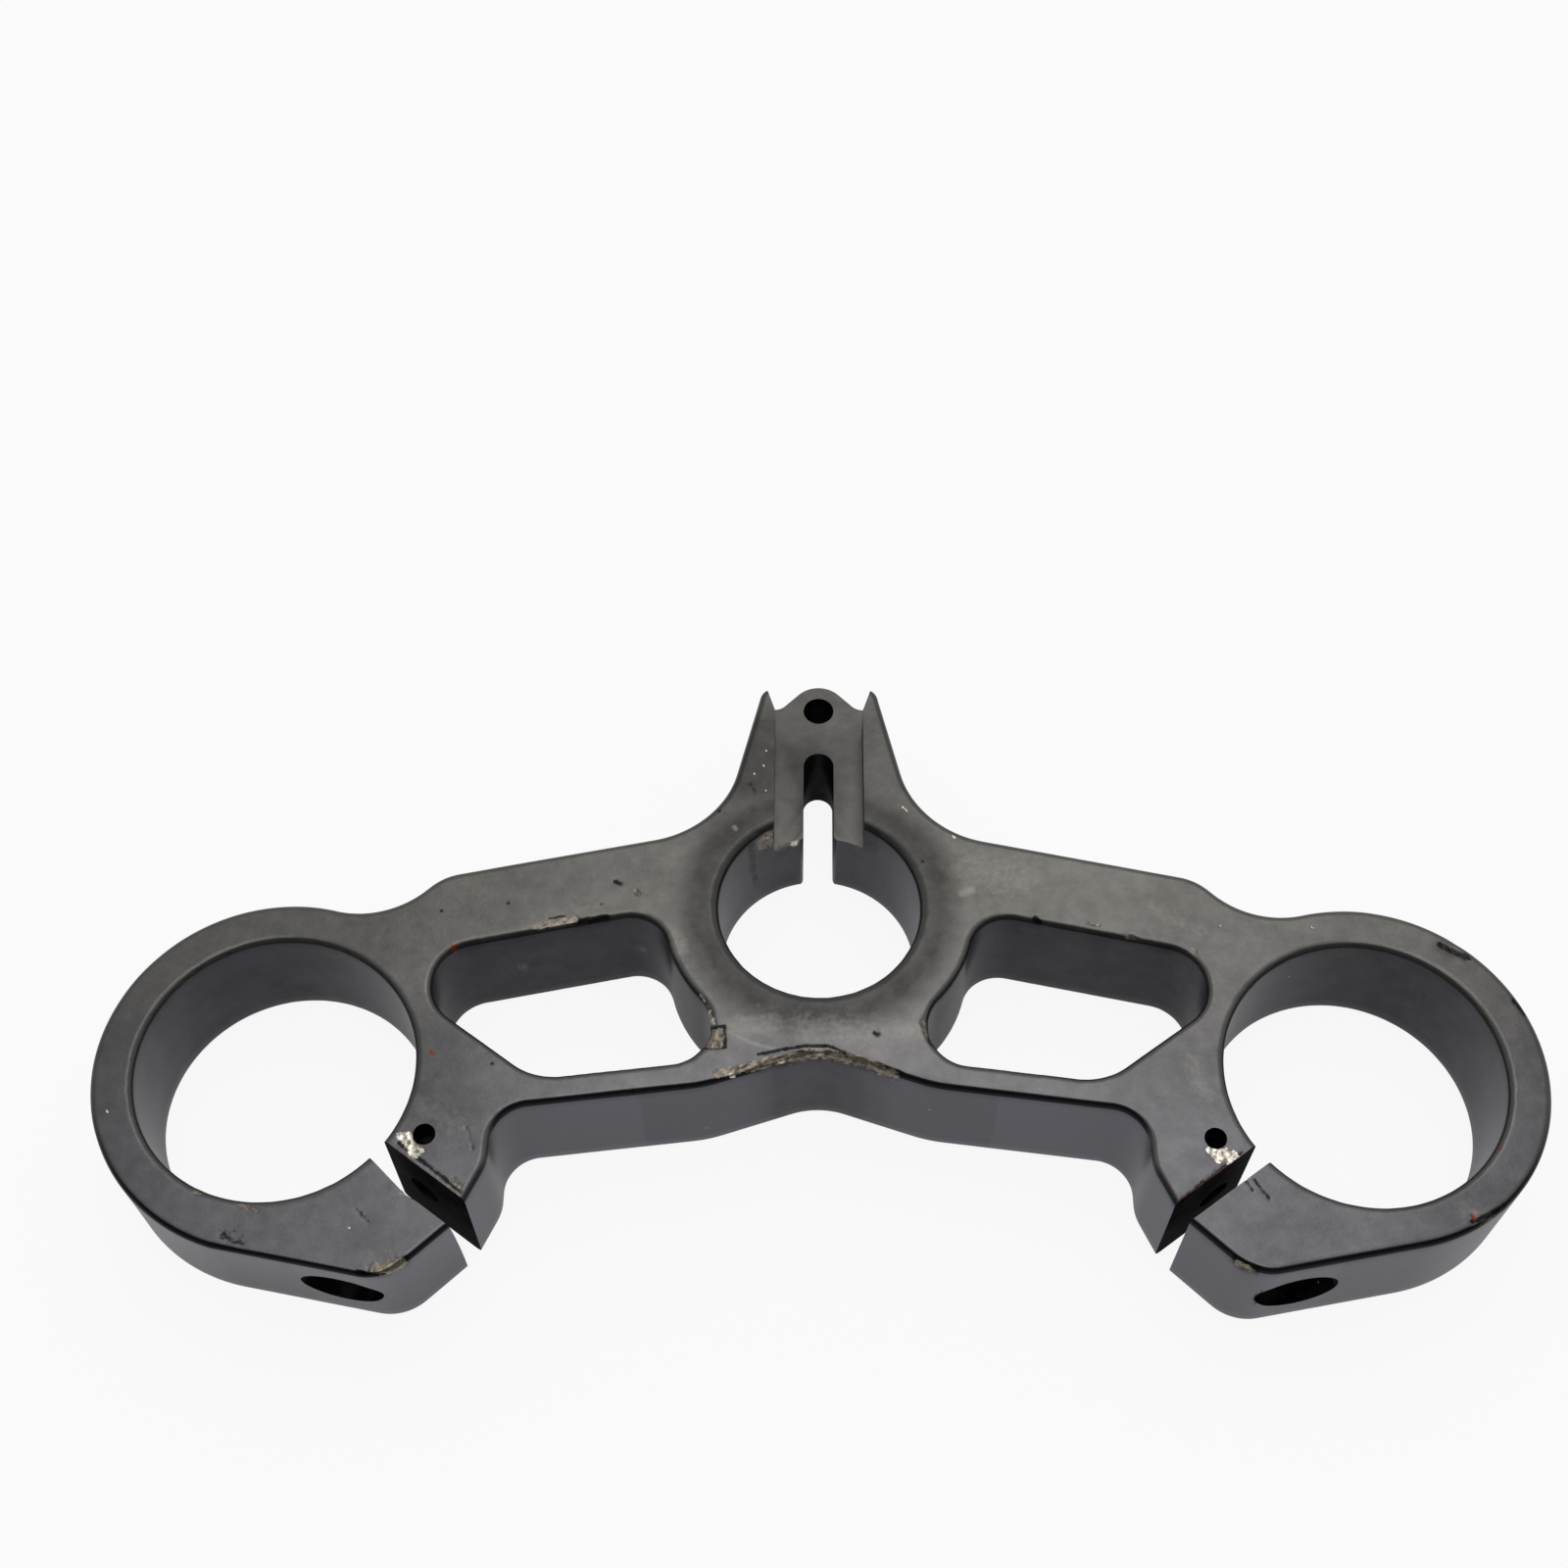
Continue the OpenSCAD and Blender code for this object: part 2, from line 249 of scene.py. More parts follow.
def signed_area(p):
    """Area of a closed outline, positive when it turns to the left."""
    q = np.roll(p, -1, 0)
    return 0.5 * np.sum(p[:, 0] * q[:, 1] - p[:, 1] * q[:, 0])


def turned(p, left):
    """The outline turned so that its metal lies on the left."""
    return p if (signed_area(p) > 0) == left else p[::-1]


# each loop: points, top rounding, bottom rounding
loops = [
    (turned(outline, True), edge, edge),
    (turned(window, False), edge, edge),
    (turned(window * [-1, 1], False), edge, edge),
    (turned(circle(fork, fork_r), False), edge, edge),
    (turned(circle(fork * [-1, 1], fork_r), False), edge, edge),
    (turned(circle([0, 0], stem_r), False), stem_edge, 0.25)]
print("outline %d points, %.1f mm round" % (len(outline), len(outline) * step))

# %% [markdown]
# ## The skin of the plate
#
# A rounded plate edge is a profile carried along the outline: a quarter circle
# at the top, the straight wall, and a quarter circle at the bottom. The grid
# has one column for each point of the outline and one row for each point of
# the profile. One more row lies just inside the flat faces, so that the smooth
# shading of the round stops there and the flats stay flat. The flats
# themselves are filled with a fine triangle net, because a worn face needs
# points in its middle.

# %% Walls as carried profiles
rng = np.random.default_rng(7)


def waver(s, low, high, count, seed):
    """A smooth value between low and high along a closed length s of 0 to 1.

    It is the sum of a few sine waves of whole counts and random phases.
    """
    r = np.random.default_rng(seed)
    k = r.integers(3, count, 9)
    f = r.uniform(0, 2 * np.pi, 9)
    v = np.sin(2 * np.pi * np.outer(s, k) + f).mean(1)
    return low + (high - low) * (0.5 + 0.5 * v / np.abs(v).max())


def wall(points, top_r, low_r, seed, arc=7, low_arc=3, rows=10, flat=0.14):
    """Grid of the wall along one loop.

    The inset of a row at angle t on the top round is r - r * sin(t), and its
    drop is r - r * cos(t); the bottom round mirrors it. Each point moves by
    the inset along the loop's left normal, into the metal.
    """
    tangent = np.roll(points, -1, 0) - np.roll(points, 1, 0)
    tangent /= np.linalg.norm(tangent, axis=1)[:, None]
    normal = np.stack([-tangent[:, 1], tangent[:, 0]], 1)
    s = np.arange(len(points)) / len(points)
    top = top_r * waver(s, 0.86, 1.0, 60, seed)[:, None]
    t = np.radians(np.linspace(0, 90, arc + 1))[None]
    u = np.radians(np.linspace(90, 0, low_arc + 1))[None]
    low = low_r * waver(s, 0.95, 1.0, 60, seed + 50)[:, None]
    inset = [top + flat, top * (1 - np.sin(t)),
             np.zeros((len(points), rows - 1)),
             low * (1 - np.sin(u)), low + flat]
    z_top, z_low = thick - top, low
    mid = z_top + (z_low - z_top) * (np.arange(1, rows) / rows)[None]
    height = [np.full_like(top, thick), thick - top * (1 - np.cos(t)), mid,
              low * (1 - np.cos(u)), np.zeros_like(low)]
    inset, height = np.concatenate(inset, 1), np.concatenate(height, 1)
    xy = points[:, None] + normal[:, None] * inset[..., None]
    return np.concatenate([xy, height[..., None]], 2)


def grid_faces(n, m, first):
    """Quads of a grid that closes on itself in its first direction."""
    i, j = np.meshgrid(np.arange(n), np.arange(m - 1), indexing="ij")
    k = (i + 1) % n
    return (first + np.stack([i * m + j, i * m + j + 1, k * m + j + 1, k * m + j], 2)
            ).reshape(-1, 4)


walls = [wall(p, a, b, 11 + n) for n, (p, a, b) in enumerate(loops)]
print("wall grids", [g.shape[:2] for g in walls])

# %% [markdown]
# ## Where it is worn
#
# A used clamp tells its story in small marks: bare aluminium where a pin was
# driven out, a scraped front edge, chips, stains and scratches. Each mark is
# written once, as a short stroke with a radius, and serves three times: the
# net of the flats is finer there, the skin is dented there, and the finish
# changes there. A stroke's depth at a point is 1.5 on its line, 0.5 at its
# radius and 0 at one and a half times its radius.

# %% The marks: start x, y, end x, y, height, radius, in millimetres, and strength
marks = {
    "bare": [
        (-77.3, -48.9, -75.6, -50.2, 28, 0.8, 1), (-75.6, -50.2, -74.4, -52.2, 28, 1.0, 1),
        (-74.4, -52.2, -73.2, -51.8, 28, 0.6, 0.9), (-75.9, -48.6, -75.0, -50.2, 28, 0.6, 0.9),
        (73.1, -51.7, 75.7, -52.5, 28, 1.28, 1), (71.9, -51.0, 73.2, -52.5, 28, 0.92, 0.9),
        (-16.5, -36.5, -16.2, -36.7, 28, 0.55, 0.9), (-7.4, -33.6, -6.7, -33.2, 28, 0.55, 0.9),
        (-0.0, -31.8, 1.1, -32.0, 28, 0.46, 0.8), (12.8, -36.3, 13.4, -36.5, 28, 0.46, 0.8),
        (-22.7, -19.9, -21.3, -22.5, 28, 0.37, 1), (-21.3, -22.5, -20.3, -25.8, 28, 0.55, 1),
        (-10.9, 16.4, -9.9, 17.0, 24.5, 0.6, 0.8), (-5.6, 18.9, -4.2, 19.2, 18.5, 0.4, 0.8),
        (-85.4, -66.1, -85.1, -66.9, 28, 0.12, 1), (-132.4, -44.2, -132.1, -44.6, 28, 0.12, 1),
        (95.5, -4.5, 95.9, -4.9, 28, 0.14, 1), (-10.7, 35.1, -10.5, 34.8, 28, 0.12, 1),
        (-11.3, 31.6, -11.1, 31.3, 28, 0.12, 1), (-13.2, 29.7, -13.0, 29.5, 28, 0.12, 1),
        (-10.8, 25.8, -10.6, 25.6, 28, 0.12, 1), (16.7, 22.0, 17.7, 20.9, 28, 0.14, 1),
        (26.6, 15.5, 26.9, 14.8, 28, 0.16, 1),
    ],
    "tan": [
        (-18.8, -36.1, -12.0, -34.4, 28, 0.83, 1), (-12.0, -34.4, -7.2, -33.0, 28, 0.83, 1),
        (-7.2, -33.0, -0.0, -31.6, 28, 0.83, 1), (-0.0, -31.6, 7.7, -33.3, 28, 0.83, 1),
        (7.7, -33.3, 14.3, -36.1, 28, 0.83, 1), (-21.6, -28.3, -19.2, -28.6, 27, 1.35, 1),
        (-21.2, -29.8, -19.4, -29.9, 27.5, 1.1, 1), (19.5, -25.4, 21.1, -29.2, 28, 0.55, 1),
        (-79.8, -74.1, -77.6, -74.1, 27, 0.85, 1), (-77.6, -74.1, -74.9, -72.8, 27, 0.85, 1),
        (-11.3, 16.1, -9.3, 17.3, 23.5, 1.5, 1), (-8.6, 17.7, -3.2, 19.4, 18.4, 0.5, 1),
        (-55.0, -5.5, -52.4, -4.6, 28, 0.55, 1),
        (-52.4, -4.6, -47.7, -3.8, 28, 0.64, 1), (63.4, -60.7, 64.6, -61.8, 28, 0.64, 0.9),
        (-66.9, -57.5, -65.8, -58.6, 28, 0.55, 0.9), (74.7, -72.0, 77.3, -73.6, 27.4, 0.6, 1),
        (59.5, -6.6, 61.1, -7.3, 28, 0.46, 0.9),
        (72.1, -9.7, 72.8, -10.6, 28, 0.46, 0.8), (-36.1, 2.6, -35.5, 1.9, 28, 0.40, 0.8),
        (-113.7, -60.0, -112.8, -60.3, 28, 0.55, 0.7), (-105.5, -62.4, -102.0, -63.3, 28, 0.46, 0.7),
        (-76.0, -60.1, -72.9, -61.1, 28, 0.37, 0.7), (52.6, -4.1, 54.1, -4.5, 28, 0.37, 0.9),
    ],
    "rub": [
        (31.7, 8.4, 38.6, 5.4, 28, 4.40, 0.55), (-17.0, 17.1, -16.6, 16.6, 28, 0.5, 1),
        (-17.8, -27.2, -13.0, -29.8, 28, 0.45, 0.9), (-13.0, -29.8, -8.3, -31.2, 28, 0.45, 0.9),
        (28.1, 2.5, 30.0, 3.1, 28, 0.92, 1),
        (-15.6, -26.6, -9.3, -26.2, 28, 2.57, 0.8), (-2.2, -27.3, 11.1, -28.1, 28, 3.67, 0.6),
        (15.2, -27.2, 18.9, -27.2, 28, 2.02, 0.8), (-27.7, -7.3, -27.2, -10.9, 28, 1.65, 0.8),
        (-61.7, -6.2, -56.4, -8.1, 14, 0.55, 0.8), (-38.4, -0.2, -35.2, -3.0, 14, 0.92, 0.6),
        (116.4, -62.0, 122.7, -63.7, 28, 1.65, 0.6), (-52.8, -2.1, -43.3, -0.9, 28, 1.47, 0.4),
        (65.7, -1.4, 74.0, -5.7, 28, 1.65, 0.4), (-35.9, -38.0, -33.7, -38.3, 28, 1.10, 0.4),
        (-74.0, -43.3, -66.4, -47.1, 28, 2.57, 0.4), (69.7, -32.6, 71.8, -40.5, 28, 1.83, 0.5),
    ],
    "dark": [
        (-8.0, -31.4, -3.0, -30.4, 28, 0.37, 1), (-3.0, -30.4, 1.8, -30.4, 28, 0.37, 1),
        (1.8, -30.4, 4.8, -31.7, 28, 0.37, 0.9), (-11.5, -32.2, -8.0, -31.4, 28, 0.37, 0.9),
        (-23.6, -27.0, -18.0, -26.4, 28, 0.33, 1), (-18.0, -26.4, -17.8, -30.7, 28, 0.33, 1),
        (-17.8, -30.7, -22.9, -31.1, 28, 0.33, 1), (-22.9, -31.1, -23.6, -27.0, 28, 0.33, 1),
        (10.5, -27.7, 10.9, -27.9, 28, 0.55, 1), (-107.7, -68.5, -103.6, -69.9, 28, 0.7, 0.5),
        (-82.7, -74.7, -79.6, -75.8, 28, 0.46, 0.9),
        (-40.1, 4.7, -39.1, 4.1, 28, 0.46, 0.9), (-47.5, -4.2, -41.4, -3.1, 28, 0.64, 1),
        (-52.7, -3.6, -49.8, -3.1, 28, 0.28, 0.7), (119.9, -8.4, 124.8, -11.2, 28, 0.73, 0.9),
        (132.2, -20.1, 133.9, -23.1, 28, 0.46, 0.9), (42.0, -3.1, 42.9, -4.1, 28, 0.73, 1),
        (77.7, -56.3, 78.7, -58.7, 28, 0.35, 0.65), (79.4, -56.6, 81.6, -60.2, 28, 0.35, 0.6),
        (59.0, -7.3, 61.8, -7.7, 28, 0.37, 0.8), (59.7, -67.2, 60.2, -67.6, 24, 0.46, 1),
        (-83.5, -63.5, -81.5, -65.4, 28, 0.7, 0.4), (-76.1, -59.0, -74.2, -60.5, 28, 0.28, 0.8),
        (117.8, -64.4, 124.0, -61.6, 28, 0.5, 0.9), (-13.6, 14.2, -13.5, 14.3, 25, 1.1, 0.9),
        (-13.5, 14.3, -13.4, 14.4, 20, 1.1, 0.9), (-13.4, 14.4, -13.2, 14.6, 15, 1.0, 0.9),
        (-13.1, 14.7, -12.9, 14.9, 10, 0.9, 0.8), (-79.9, -74.2, -77.6, -74.3, 27, 1.2, 1),
        (-77.6, -74.3, -74.4, -72.6, 27, 1.15, 1), (74.3, -71.7, 77.9, -73.8, 27.4, 1.0, 1),
        (-77.5, -50.3, -65.3, -59.7, 28, 0.42, 0.85),
        (77.5, -51.3, 65.3, -60.7, 28, 0.36, 0.75),
        (-8.7, 46.5, -7.4, 42.6, 19, 0.55, 0.7), (1.8, 42.4, 2.4, 41.7, 19, 0.46, 0.7),
        (-5.8, 14.3, -5.0, 13.6, 12, 0.37, 0.9), (-13.6, 27.2, -12.6, 24.4, 28, 0.9, 0.35),
        (61.4, -56.5, 64.0, -60.1, 28, 0.28, 0.8), (-65.4, -47.1, -63.8, -51.4, 28, 0.3, 0.35),
    ],
    "rust": [
        (-70.7, -9.9, -69.9, -10.7, 28, 0.73, 1), (-73.3, -32.0, -72.9, -32.4, 28, 0.33, 1),
        (117.9, -63.1, 118.3, -63.7, 28, 0.37, 1), (125.3, -49.9, 118.1, -56.6, 28, 0.22, 0.6),
        (79.5, -50.4, 65.4, -60.7, 27.6, 0.3, 0.6), (-79.5, -50.4, -65.4, -60.7, 27.6, 0.3, 0.6),
    ],
}


def stroke_gap(p, mark):
    """Distance of points to a stroke's line. Height counts half."""
    a, b = np.array(mark[0:2]), np.array(mark[2:4])
    ab = b - a
    t = np.clip(((p[:, :2] - a) @ ab) / max(ab @ ab, 1e-9), 0, 1)
    d = p[:, :2] - a - t[:, None] * ab
    return np.sqrt((d ** 2).sum(1) + (0.5 * (p[:, 2] - mark[4])) ** 2)


def mark_depth(p, rows):
    """The greatest depth of points in any of some strokes."""
    best = np.zeros(len(p))
    for m in rows:
        best = np.maximum(best, m[6] * np.clip(1.5 - stroke_gap(p, m) / m[5], 0, 1.5))
    return best


def fine_spots(rows):
    """Extra net points in and around the strokes on the top face."""
    out = []
    for m in rows:
        reach, pitch = 1.5 * m[5] + 0.3, np.clip(0.45 * m[5], 0.2, 0.8)
        lo = np.minimum(m[0:2], m[2:4]) - reach
        hi = np.maximum(m[0:2], m[2:4]) + reach
        x, y = np.meshgrid(np.arange(lo[0], hi[0], pitch), np.arange(lo[1], hi[1], pitch))
        q = np.stack([x.ravel(), y.ravel()], 1)
        q = q + rng.uniform(-0.3, 0.3, q.shape) * pitch
        out.append(q[stroke_gap(np.column_stack([q, np.full(len(q), m[4])]), m) < reach])
    return np.concatenate(out)


# wide rubs need no finer net; where strokes overlap, one point is kept in
# each square of 0.12 mm
top_marks = [m for rows in marks.values() for m in rows if m[4] == 28 and m[5] < 1.6]
extra = fine_spots(top_marks)
extra = extra[np.unique(np.round(extra / 0.12), axis=0, return_index=True)[1]]
print("marks", sum(len(r) for r in marks.values()), "extra net points", len(extra))


# %% Flat faces as a net of triangles
def inside(points, rings):
    """True where a point lies in the metal: an odd count of edges to its right."""
    a = np.concatenate(rings)
    b = np.concatenate([np.roll(r, -1, 0) for r in rings])
    hit = np.zeros(len(points), int)
    for part in np.array_split(np.arange(len(points)), 12):
        x, y = points[part, 0, None], points[part, 1, None]
        cut = (a[:, 1] > y) != (b[:, 1] > y)
        at = a[:, 0] + (y - a[:, 1]) * (b[:, 0] - a[:, 0]) / np.where(
            b[:, 1] == a[:, 1], 1, b[:, 1] - a[:, 1])
        hit[part] = (cut & (x < at)).sum(1)
    return hit % 2 == 1


def clear_of(points, rings, gap):
    """True where a point keeps a gap from every point of the rings."""
    ring_points = np.concatenate(rings)
    near = [np.sqrt(((points[k, None] - ring_points) ** 2).sum(2)).min(1)
            for k in np.array_split(np.arange(len(points)), 16)]
    return np.concatenate(near) > gap


def net(rings, pitch, fine=None):
    """Triangles that fill the metal between rings, with a net of inner points.

    The inner points stand on a triangular lattice and are each shifted a
    little, so that no row of them shows. Fine points are added to them.
    """
    lo, hi = np.concatenate(rings).min(0), np.concatenate(rings).max(0)
    x, y = np.meshgrid(np.arange(lo[0], hi[0], pitch),
                       np.arange(lo[1], hi[1], pitch * 0.866))
    x = x + (np.arange(len(x)) % 2 * pitch / 2)[:, None]
    spots = np.stack([x.ravel(), y.ravel()], 1)
    spots = spots + rng.uniform(-0.2, 0.2, spots.shape) * pitch
    spots = spots[inside(spots, rings) & clear_of(spots, rings, pitch * 0.5)]
    if fine is not None:
        spots = np.concatenate([spots, fine[inside(fine, rings) & clear_of(fine, rings, 0.2)]])
    pts = np.concatenate(rings + [spots])
    edges, first = [], 0
    for r in rings:
        i = np.arange(len(r))
        edges.append(np.stack([i, (i + 1) % len(r)], 1) + first)
        first += len(r)
    made = delaunay_2d_cdt(pts.tolist(), np.concatenate(edges).tolist(), [], 0, 1e-6)
    flat = np.array([tuple(v) for v in made[0]])
    tri = np.array(made[2])
    return flat, tri[inside(flat[tri].mean(1), rings)]


top_flat, top_tri = net([g[:, 0, :2] for g in walls], 2.2, extra)
low_flat, low_tri = net([g[:, -1, :2] for g in walls], 4.0)
print("top net %d triangles, bottom net %d" % (len(top_tri), len(low_tri)))

# %% Sew the plate
verts, quads, tris, first = [], [], [], 0
for g in walls:
    verts.append(g.reshape(-1, 3))
    quads.append(grid_faces(g.shape[0], g.shape[1], first))
    first += g.shape[0] * g.shape[1]
for flat, tri, z in ((top_flat, top_tri, thick), (low_flat, low_tri, 0.0)):
    verts.append(np.column_stack([flat, np.full(len(flat), z)]))
    tris.append(tri + first)
    first += len(flat)


def make_mesh(name, points_mm, faces):
    """A mesh object at the origin from points in millimetres, its doubles
    merged and its faces turned outwards."""
    mesh = bpy.data.meshes.new(name)
    mesh.from_pydata((np.asarray(points_mm) / 1000).tolist(), [], faces)
    bm = bmesh.new()
    bm.from_mesh(mesh)
    bmesh.ops.remove_doubles(bm, verts=bm.verts, dist=2e-6)
    bmesh.ops.recalc_face_normals(bm, faces=bm.faces)
    bm.to_mesh(mesh)
    bm.free()
    obj = bpy.data.objects.new(name, mesh)
    scene.collection.objects.link(obj)
    return obj


faces = [f for q in quads for f in q.tolist()] + [f for t in tris for f in t.tolist()]
clamp = make_mesh("triple_clamp_skin", np.concatenate(verts), faces)
print("plate", len(clamp.data.polygons), "faces")

# %% [markdown]
# ## What is cut into the plate
#
# The slits, the channel, the slot and the bolt holes were cut after the edges
# were rounded, so their own edges are crisp. Cutting with solid tools, as the
# mill did, gives exactly that. Tools that don't touch each other share a mesh,
# so that three cuts are enough.

# %% Cutting tools
def prism(outline_2d, z0, z1):
    """Points and faces of an upright prism over a closed outline."""
    n = len(outline_2d)
    pts = np.concatenate([np.column_stack([outline_2d, np.full(n, z)]) for z in (z0, z1)])
    i = np.arange(n)
    side = np.stack([i, (i + 1) % n, (i + 1) % n + n, i + n], 1).tolist()
    return pts, side + [list(range(n))[::-1], list(range(n, 2 * n))]


def turned_pin(base, axis, profile, n=72):
    """Points and faces of a turned tool.

    The profile is a list of (distance along the axis, radius); each pair is
    carried round the axis, and the first and last rings are closed.
    """
    axis = np.asarray(axis, float) / np.linalg.norm(axis)
    side = np.cross(axis, [0, 0, 1.0] if abs(axis[2]) < 0.9 else [0, 1.0, 0])
    side /= np.linalg.norm(side)
    other_side = np.cross(axis, side)
    t = 2 * np.pi * np.arange(n) / n
    spoke = np.cos(t)[:, None] * side + np.sin(t)[:, None] * other_side
    d, r = np.array(profile, float).T
    pts = (np.asarray(base) + d[:, None, None] * axis + r[:, None, None] * spoke[None])
    i, j = np.meshgrid(np.arange(len(d) - 1), np.arange(n), indexing="ij")
    k = (j + 1) % n
    quad = np.stack([i * n + j, i * n + k, (i + 1) * n + k, (i + 1) * n + j], 2)
    end = (len(d) - 1) * n
    return pts.reshape(-1, 3), quad.reshape(-1, 4).tolist() + [
        list(range(n))[::-1], list(range(end, end + n))]


def tool(name, parts):
    """One cutting mesh from several tools that don't touch."""
    pts, fcs, n = [], [], 0
    for p, f in parts:
        pts.append(p)
        fcs += [[v + n for v in face] for face in f]
        n += len(p)
    return make_mesh(name, np.concatenate(pts), fcs)


def mirrored(part):
    """The same tool on the other side of the plate."""
    return part[0] * [-1, 1, 1], part[1]


# the tools stand out of the plate by over, and start inside the stem's bore
over, in_bore = 3.0, 8.0
far_end = lug_end + 5
slit = prism(np.array([at_clamp(0, slit_in), at_clamp(far_end, slit_in),
                       at_clamp(far_end, slit_out), at_clamp(0, slit_out)]), -over, thick + over)
# the channel widens over the last few millimetres of the tail
flare, flare_run = np.tan(np.radians(18)), 5.8
half_w, mouth = channel_w / 2, ear_y - flare_run
wide = half_w + flare * (flare_run + 2 * boss_r)
channel = prism(np.array([[-half_w, in_bore], [half_w, in_bore], [half_w, mouth],
                          [wide, ear_y + 2 * boss_r], [-wide, ear_y + 2 * boss_r],
                          [-half_w, mouth]]), thick - channel_d, thick + over)
slot_in = np.sqrt(stem_r ** 2 - (slot_w / 2) ** 2)
slot = prism(rounded([[slot_w / 2, slot_y, slot_w / 2], [-slot_w / 2, slot_y, slot_w / 2],
                      [-slot_w / 2, slot_in, 1.5], [-slot_w, slot_in - 1, 0],
                      [-slot_w, in_bore, 0], [slot_w, in_bore, 0], [slot_w, slot_in - 1, 0],
                      [slot_w / 2, slot_in, 1.5]], 0.35), -over, thick + over)
mid = thick / 2
bolt = at_clamp(fork_r + bolt_out, slit_shift)
pinch = turned_pin([*bolt, mid], [*across, 0],
                   [(-20, thread_r), (-1, thread_r), (-1, shank_r), (11, shank_r),
                    (11, head_r), (40, head_r)])
pin_at = bolt - along * 2.3 - across * (slit_w / 2 + 5.3)
pin = turned_pin([*pin_at, thick + 2], [0, 0, -1], [(0, pin_r), (8, pin_r), (8.9, 0.05)], 48)
tail_bore = turned_pin([*tail_hole, thick + 2], [0, 0, -1], [(0, tail_r), (34, tail_r)], 60)
stem_bolt = turned_pin([0, (stem_r + slot_y) / 2 - 1, (thick - channel_d) / 2], [1, 0, 0],
                       [(-30, thread_r), (0, thread_r), (0, shank_r), (11.1, shank_r),
                        (11.1, head_r), (30, head_r)])
print("pinch bolt axis at", bolt.round(2), "pin hole at", pin_at.round(2))


# %% Cut the plate
def cut(target, cutter):
    """Take the cutter away from the target for good."""
    m = target.modifiers.new("cut", "BOOLEAN")
    m.operation, m.solver, m.object = "DIFFERENCE", "EXACT", cutter
    graph = bpy.context.evaluated_depsgraph_get()
    new = bpy.data.meshes.new_from_object(target.evaluated_get(graph))
    target.modifiers.clear()
    old, target.data = target.data, new
    bpy.data.meshes.remove(old)
    bpy.data.objects.remove(cutter)


cut(clamp, tool("saw", [slit, mirrored(slit), channel]))
cut(clamp, tool("drill", [slot, pin, mirrored(pin), tail_bore]))
cut(clamp, tool("counterbore", [pinch, mirrored(pinch), stem_bolt]))
print("after cutting", len(clamp.data.polygons), "faces")

# %% [markdown]
# ## Knocks and dents
#
# The clamp has been used. One lug is bent, corners are chipped, one ring has
# a dent, and the front edge is ragged. Every mark takes a little metal away:
# the skin moves inward against its own normal by the mark's depth, roughened
# by a fixed noise, so that the marks stay small and uneven.

# %% Knock the skin
def point_values(name):
    """The skin's places ("co") or normals, one row of three for each point."""
    values = np.zeros(len(clamp.data.vertices) * 3, np.float32)
    clamp.data.vertices.foreach_get(name, values)
    return values.reshape(-1, 3).astype(float)


def move_points(points_mm):
    """Put the skin's points at places given in millimetres."""
    clamp.data.vertices.foreach_set("co", (points_mm / 1000).astype(np.float32).ravel())
    clamp.data.update()


def step_up(v, low, high):
    """0 at low, 1 at high, straight between and level outside them. It steps
    down where low is the greater of the two."""
    return np.clip((v - low) / (high - low), 0, 1)


def rough(p, size, seed):
    """Noise of about -1 to 1 over points p: a sum of sines of random
    directions, with waves of about the given size."""
    r = np.random.default_rng(seed)
    k = r.normal(size=(12, 3))
    k *= (2 * np.pi / size) * r.uniform(0.6, 1.6, (12, 1)) / np.linalg.norm(k, axis=1)[:, None]
    f = r.uniform(0, 2 * np.pi, 12)
    return np.clip(np.sin(p @ k.T + f).sum(1) / 3.2, -1, 1)


# the left clamp's outer lug is bent: its top edge leans forward by this many
# millimetres, and the lean fades out along the ring and towards the bore
lean, bore_fade = 1.7, 8
co = point_values("co") * 1000
from_fork = np.stack([-co[:, 0], co[:, 1]], 1) - fork
down_slit, off_slit = from_fork @ along, from_fork @ across
outer_lug = np.where(down_slit > 0, off_slit > slit_out - 0.05, step_up(off_slit, 2, 14))
ring_part = np.clip((np.linalg.norm(from_fork, axis=1) - fork_r) / bore_fade, 0, 1)
along_ring = step_up(from_fork[:, 0], 31.6, 7.6)
bend = outer_lug * ring_part * along_ring * (co[:, 0] < 0) * (co[:, 2] / thick) ** 2
co[:, 1] -= lean * bend
move_points(co)

# how deep each kind of mark goes into the metal, in millimetres
depths = {"bare": 0.1, "tan": 0.22, "dark": 0.13, "rust": 0.05}
dent = np.zeros(len(co))
for kind, deep in depths.items():
    dent = np.maximum(dent, deep * mark_depth(co, marks[kind]))
dent *= 0.75 + 0.5 * rough(co, 1.4, 40)
# the big dent in the right ring's back edge
big_at, big_r, big_deep = np.array([122.0, -9.6, 28]), 3.2, 0.35
big_gap = np.linalg.norm((co - big_at) * [1, 1, 0.8], axis=1)
dent += big_deep * np.clip(1 - big_gap / big_r, 0, 1) ** 1.5
co = co - point_values("normal") * dent[:, None]
co[:, 2] = np.clip(co[:, 2], 0, thick)
move_points(co)

# smooth shading, broken where faces meet at more than 32 degrees
bm = bmesh.new()
bm.from_mesh(clamp.data)
bmesh.ops.triangulate(bm, faces=[f for f in bm.faces if len(f.verts) > 4])
for f in bm.faces:
    f.smooth = True
for e in bm.edges:
    e.smooth = len(e.link_faces) == 2 and e.calc_face_angle(0) < np.radians(32)
closed = all(len(e.link_faces) == 2 for e in bm.edges)
bm.to_mesh(clamp.data)
bm.free()
print("closed", closed, "triangles", sum(len(p.vertices) - 2 for p in clamp.data.polygons))
